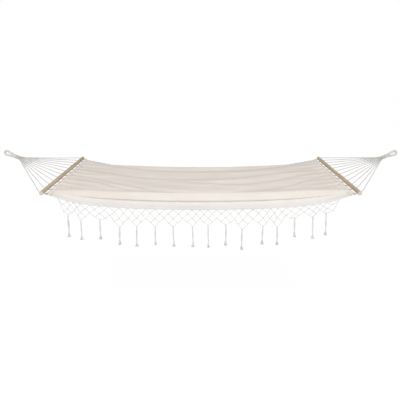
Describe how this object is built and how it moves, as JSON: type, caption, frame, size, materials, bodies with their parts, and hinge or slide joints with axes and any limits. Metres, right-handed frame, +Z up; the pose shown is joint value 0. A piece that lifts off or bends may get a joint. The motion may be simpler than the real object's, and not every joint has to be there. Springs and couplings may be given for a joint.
{
  "type": "spreader bar hammock",
  "caption": "Cream woven hammock with wooden spreader bars, corded ends gathered to rope eyes, and a knotted net fringe with tassels along both long edges.",
  "frame": {"origin": "where the left rope eye bears on its hook, inside the outer end of its loop", "axes": "+X towards the right eye along the bed, +Y across the bed, +Z up"},
  "size_m": [2.935, 0.82, 0.5975],
  "materials": {
    "bar_wood": "satin",
    "bed_cloth": "matte",
    "fringe_cotton": "matte",
    "hem_rope": "matte",
    "whipping_twine": "matte",
    "clew_rope": "matte"
  },
  "bodies": {
    "left_eye": {"left_eye": "clew_rope"},
    "left_neck": {"left_whipping": "whipping_twine"},
    "left_clew": {"left_clew_cords": "clew_rope", "left_clew_weft": "clew_rope", "left_spreader_bar": "bar_wood"},
    "bed": {"fabric_bed": "bed_cloth", "left_hem_cord": "hem_rope", "right_hem_cord": "hem_rope", "left_end_binding": "bed_cloth", "right_end_binding": "bed_cloth", "near_fringe_net": "fringe_cotton", "far_fringe_net": "fringe_cotton"},
    "right_clew": {"right_clew_cords": "clew_rope", "right_clew_weft": "clew_rope", "right_spreader_bar": "bar_wood"},
    "right_neck": {"right_whipping": "whipping_twine"},
    "right_eye": {"right_eye": "clew_rope"},
    "near_tassel_01": {"near_tassel_01": "fringe_cotton"},
    "near_tassel_02": {"near_tassel_02": "fringe_cotton"},
    "near_tassel_03": {"near_tassel_03": "fringe_cotton"},
    "near_tassel_04": {"near_tassel_04": "fringe_cotton"},
    "near_tassel_05": {"near_tassel_05": "fringe_cotton"},
    "near_tassel_06": {"near_tassel_06": "fringe_cotton"},
    "near_tassel_07": {"near_tassel_07": "fringe_cotton"},
    "near_tassel_08": {"near_tassel_08": "fringe_cotton"},
    "near_tassel_09": {"near_tassel_09": "fringe_cotton"},
    "near_tassel_10": {"near_tassel_10": "fringe_cotton"},
    "near_tassel_11": {"near_tassel_11": "fringe_cotton"},
    "near_tassel_12": {"near_tassel_12": "fringe_cotton"},
    "near_tassel_13": {"near_tassel_13": "fringe_cotton"},
    "near_tassel_14": {"near_tassel_14": "fringe_cotton"},
    "near_tassel_15": {"near_tassel_15": "fringe_cotton"},
    "near_tassel_16": {"near_tassel_16": "fringe_cotton"},
    "far_tassel_01": {"far_tassel_01": "fringe_cotton"},
    "far_tassel_02": {"far_tassel_02": "fringe_cotton"},
    "far_tassel_03": {"far_tassel_03": "fringe_cotton"},
    "far_tassel_04": {"far_tassel_04": "fringe_cotton"},
    "far_tassel_05": {"far_tassel_05": "fringe_cotton"},
    "far_tassel_06": {"far_tassel_06": "fringe_cotton"},
    "far_tassel_07": {"far_tassel_07": "fringe_cotton"},
    "far_tassel_08": {"far_tassel_08": "fringe_cotton"},
    "far_tassel_09": {"far_tassel_09": "fringe_cotton"},
    "far_tassel_10": {"far_tassel_10": "fringe_cotton"},
    "far_tassel_11": {"far_tassel_11": "fringe_cotton"},
    "far_tassel_12": {"far_tassel_12": "fringe_cotton"},
    "far_tassel_13": {"far_tassel_13": "fringe_cotton"},
    "far_tassel_14": {"far_tassel_14": "fringe_cotton"},
    "far_tassel_15": {"far_tassel_15": "fringe_cotton"},
    "far_tassel_16": {"far_tassel_16": "fringe_cotton"}
  },
  "joints": [
    {"name": "side_swing", "type": "hinge", "parent": "left_eye", "child": "left_neck", "pos_m": [0.0718, 0, -0.03048], "axis": [1, 0, 0], "range_deg": [-40, 40]},
    {"name": "left_clew_pitch", "type": "hinge", "parent": "left_neck", "child": "left_clew", "pos_m": [0.09918, 0, -0.0421], "axis": [0, 1, 0], "range_deg": [-8, 8]},
    {"name": "left_hem_pitch", "type": "hinge", "parent": "left_clew", "child": "bed", "pos_m": [0.45927, 0, -0.17004], "axis": [0, 1, 0], "range_deg": [-14, 14]},
    {"name": "right_hem_pitch", "type": "hinge", "parent": "bed", "child": "right_clew", "pos_m": [2.44273, 0, -0.17004], "axis": [0, 1, 0], "range_deg": [-14, 14]},
    {"name": "right_clew_pitch", "type": "hinge", "parent": "right_clew", "child": "right_neck", "pos_m": [2.80282, 0, -0.0421], "axis": [0, 1, 0], "range_deg": [-8, 8]},
    {"name": "right_eye_turn", "type": "hinge", "parent": "right_neck", "child": "right_eye", "pos_m": [2.8302, 0, -0.03048], "axis": [1, 0, 0], "range_deg": [-40, 40]},
    {"name": "near_tassel_01_swing", "type": "hinge", "parent": "bed", "child": "near_tassel_01", "pos_m": [0.582, -0.37704, -0.32077], "axis": [1, 0, 0], "range_deg": [-50, 50]},
    {"name": "near_tassel_02_swing", "type": "hinge", "parent": "bed", "child": "near_tassel_02", "pos_m": [0.661, -0.36875, -0.35907], "axis": [1, 0, 0], "range_deg": [-50, 50]},
    {"name": "near_tassel_03_swing", "type": "hinge", "parent": "bed", "child": "near_tassel_03", "pos_m": [0.78444, -0.36188, -0.36178], "axis": [1, 0, 0], "range_deg": [-50, 50]},
    {"name": "near_tassel_04_swing", "type": "hinge", "parent": "bed", "child": "near_tassel_04", "pos_m": [0.91281, -0.35907, -0.41495], "axis": [1, 0, 0], "range_deg": [-50, 50]},
    {"name": "near_tassel_05_swing", "type": "hinge", "parent": "bed", "child": "near_tassel_05", "pos_m": [1.02638, -0.35826, -0.40686], "axis": [1, 0, 0], "range_deg": [-50, 50]},
    {"name": "near_tassel_06_swing", "type": "hinge", "parent": "bed", "child": "near_tassel_06", "pos_m": [1.14981, -0.35803, -0.41163], "axis": [1, 0, 0], "range_deg": [-50, 50]},
    {"name": "near_tassel_07_swing", "type": "hinge", "parent": "bed", "child": "near_tassel_07", "pos_m": [1.26831, -0.358, -0.40944], "axis": [1, 0, 0], "range_deg": [-50, 50]},
    {"name": "near_tassel_08_swing", "type": "hinge", "parent": "bed", "child": "near_tassel_08", "pos_m": [1.39669, -0.358, -0.4109], "axis": [1, 0, 0], "range_deg": [-50, 50]},
    {"name": "near_tassel_09_swing", "type": "hinge", "parent": "bed", "child": "near_tassel_09", "pos_m": [1.50038, -0.358, -0.40593], "axis": [1, 0, 0], "range_deg": [-50, 50]},
    {"name": "near_tassel_10_swing", "type": "hinge", "parent": "bed", "child": "near_tassel_10", "pos_m": [1.61887, -0.358, -0.39969], "axis": [1, 0, 0], "range_deg": [-50, 50]},
    {"name": "near_tassel_11_swing", "type": "hinge", "parent": "bed", "child": "near_tassel_11", "pos_m": [1.7275, -0.35802, -0.43234], "axis": [1, 0, 0], "range_deg": [-50, 50]},
    {"name": "near_tassel_12_swing", "type": "hinge", "parent": "bed", "child": "near_tassel_12", "pos_m": [1.86575, -0.35823, -0.40733], "axis": [1, 0, 0], "range_deg": [-50, 50]},
    {"name": "near_tassel_13_swing", "type": "hinge", "parent": "bed", "child": "near_tassel_13", "pos_m": [1.95956, -0.35877, -0.41707], "axis": [1, 0, 0], "range_deg": [-50, 50]},
    {"name": "near_tassel_14_swing", "type": "hinge", "parent": "bed", "child": "near_tassel_14", "pos_m": [2.07312, -0.36056, -0.35222], "axis": [1, 0, 0], "range_deg": [-50, 50]},
    {"name": "near_tassel_15_swing", "type": "hinge", "parent": "bed", "child": "near_tassel_15", "pos_m": [2.19162, -0.3653, -0.33977], "axis": [1, 0, 0], "range_deg": [-50, 50]},
    {"name": "near_tassel_16_swing", "type": "hinge", "parent": "bed", "child": "near_tassel_16", "pos_m": [2.27556, -0.37189, -0.30994], "axis": [1, 0, 0], "range_deg": [-50, 50]},
    {"name": "far_tassel_01_swing", "type": "hinge", "parent": "bed", "child": "far_tassel_01", "pos_m": [0.582, 0.37704, -0.32077], "axis": [1, 0, 0], "range_deg": [-50, 50]},
    {"name": "far_tassel_02_swing", "type": "hinge", "parent": "bed", "child": "far_tassel_02", "pos_m": [0.661, 0.36875, -0.35907], "axis": [1, 0, 0], "range_deg": [-50, 50]},
    {"name": "far_tassel_03_swing", "type": "hinge", "parent": "bed", "child": "far_tassel_03", "pos_m": [0.78444, 0.36188, -0.36178], "axis": [1, 0, 0], "range_deg": [-50, 50]},
    {"name": "far_tassel_04_swing", "type": "hinge", "parent": "bed", "child": "far_tassel_04", "pos_m": [0.91281, 0.35907, -0.41495], "axis": [1, 0, 0], "range_deg": [-50, 50]},
    {"name": "far_tassel_05_swing", "type": "hinge", "parent": "bed", "child": "far_tassel_05", "pos_m": [1.02638, 0.35826, -0.40686], "axis": [1, 0, 0], "range_deg": [-50, 50]},
    {"name": "far_tassel_06_swing", "type": "hinge", "parent": "bed", "child": "far_tassel_06", "pos_m": [1.14981, 0.35803, -0.41163], "axis": [1, 0, 0], "range_deg": [-50, 50]},
    {"name": "far_tassel_07_swing", "type": "hinge", "parent": "bed", "child": "far_tassel_07", "pos_m": [1.26831, 0.358, -0.40944], "axis": [1, 0, 0], "range_deg": [-50, 50]},
    {"name": "far_tassel_08_swing", "type": "hinge", "parent": "bed", "child": "far_tassel_08", "pos_m": [1.39669, 0.358, -0.4109], "axis": [1, 0, 0], "range_deg": [-50, 50]},
    {"name": "far_tassel_09_swing", "type": "hinge", "parent": "bed", "child": "far_tassel_09", "pos_m": [1.50038, 0.358, -0.40593], "axis": [1, 0, 0], "range_deg": [-50, 50]},
    {"name": "far_tassel_10_swing", "type": "hinge", "parent": "bed", "child": "far_tassel_10", "pos_m": [1.61887, 0.358, -0.39969], "axis": [1, 0, 0], "range_deg": [-50, 50]},
    {"name": "far_tassel_11_swing", "type": "hinge", "parent": "bed", "child": "far_tassel_11", "pos_m": [1.7275, 0.35802, -0.43234], "axis": [1, 0, 0], "range_deg": [-50, 50]},
    {"name": "far_tassel_12_swing", "type": "hinge", "parent": "bed", "child": "far_tassel_12", "pos_m": [1.86575, 0.35823, -0.40733], "axis": [1, 0, 0], "range_deg": [-50, 50]},
    {"name": "far_tassel_13_swing", "type": "hinge", "parent": "bed", "child": "far_tassel_13", "pos_m": [1.95956, 0.35877, -0.41707], "axis": [1, 0, 0], "range_deg": [-50, 50]},
    {"name": "far_tassel_14_swing", "type": "hinge", "parent": "bed", "child": "far_tassel_14", "pos_m": [2.07312, 0.36056, -0.35222], "axis": [1, 0, 0], "range_deg": [-50, 50]},
    {"name": "far_tassel_15_swing", "type": "hinge", "parent": "bed", "child": "far_tassel_15", "pos_m": [2.19162, 0.3653, -0.33977], "axis": [1, 0, 0], "range_deg": [-50, 50]},
    {"name": "far_tassel_16_swing", "type": "hinge", "parent": "bed", "child": "far_tassel_16", "pos_m": [2.27556, 0.37189, -0.30994], "axis": [1, 0, 0], "range_deg": [-50, 50]}
  ],
  "couplings": [
    {"joint": "left_hem_pitch", "follows": "left_clew_pitch", "ratio": -1.3631},
    {"joint": "right_hem_pitch", "follows": "left_clew_pitch", "ratio": 1.3631},
    {"joint": "right_clew_pitch", "follows": "left_clew_pitch", "ratio": -1},
    {"joint": "right_eye_turn", "follows": "side_swing", "ratio": -1},
    {"joint": "near_tassel_01_swing", "follows": "near_tassel_08_swing", "ratio": 1},
    {"joint": "near_tassel_02_swing", "follows": "near_tassel_08_swing", "ratio": 1},
    {"joint": "near_tassel_03_swing", "follows": "near_tassel_08_swing", "ratio": 1},
    {"joint": "near_tassel_04_swing", "follows": "near_tassel_08_swing", "ratio": 1},
    {"joint": "near_tassel_05_swing", "follows": "near_tassel_08_swing", "ratio": 1},
    {"joint": "near_tassel_06_swing", "follows": "near_tassel_08_swing", "ratio": 1},
    {"joint": "near_tassel_07_swing", "follows": "near_tassel_08_swing", "ratio": 1},
    {"joint": "near_tassel_09_swing", "follows": "near_tassel_08_swing", "ratio": 1},
    {"joint": "near_tassel_10_swing", "follows": "near_tassel_08_swing", "ratio": 1},
    {"joint": "near_tassel_11_swing", "follows": "near_tassel_08_swing", "ratio": 1},
    {"joint": "near_tassel_12_swing", "follows": "near_tassel_08_swing", "ratio": 1},
    {"joint": "near_tassel_13_swing", "follows": "near_tassel_08_swing", "ratio": 1},
    {"joint": "near_tassel_14_swing", "follows": "near_tassel_08_swing", "ratio": 1},
    {"joint": "near_tassel_15_swing", "follows": "near_tassel_08_swing", "ratio": 1},
    {"joint": "near_tassel_16_swing", "follows": "near_tassel_08_swing", "ratio": 1},
    {"joint": "far_tassel_01_swing", "follows": "far_tassel_08_swing", "ratio": 1},
    {"joint": "far_tassel_02_swing", "follows": "far_tassel_08_swing", "ratio": 1},
    {"joint": "far_tassel_03_swing", "follows": "far_tassel_08_swing", "ratio": 1},
    {"joint": "far_tassel_04_swing", "follows": "far_tassel_08_swing", "ratio": 1},
    {"joint": "far_tassel_05_swing", "follows": "far_tassel_08_swing", "ratio": 1},
    {"joint": "far_tassel_06_swing", "follows": "far_tassel_08_swing", "ratio": 1},
    {"joint": "far_tassel_07_swing", "follows": "far_tassel_08_swing", "ratio": 1},
    {"joint": "far_tassel_09_swing", "follows": "far_tassel_08_swing", "ratio": 1},
    {"joint": "far_tassel_10_swing", "follows": "far_tassel_08_swing", "ratio": 1},
    {"joint": "far_tassel_11_swing", "follows": "far_tassel_08_swing", "ratio": 1},
    {"joint": "far_tassel_12_swing", "follows": "far_tassel_08_swing", "ratio": 1},
    {"joint": "far_tassel_13_swing", "follows": "far_tassel_08_swing", "ratio": 1},
    {"joint": "far_tassel_14_swing", "follows": "far_tassel_08_swing", "ratio": 1},
    {"joint": "far_tassel_15_swing", "follows": "far_tassel_08_swing", "ratio": 1},
    {"joint": "far_tassel_16_swing", "follows": "far_tassel_08_swing", "ratio": 1}
  ]
}
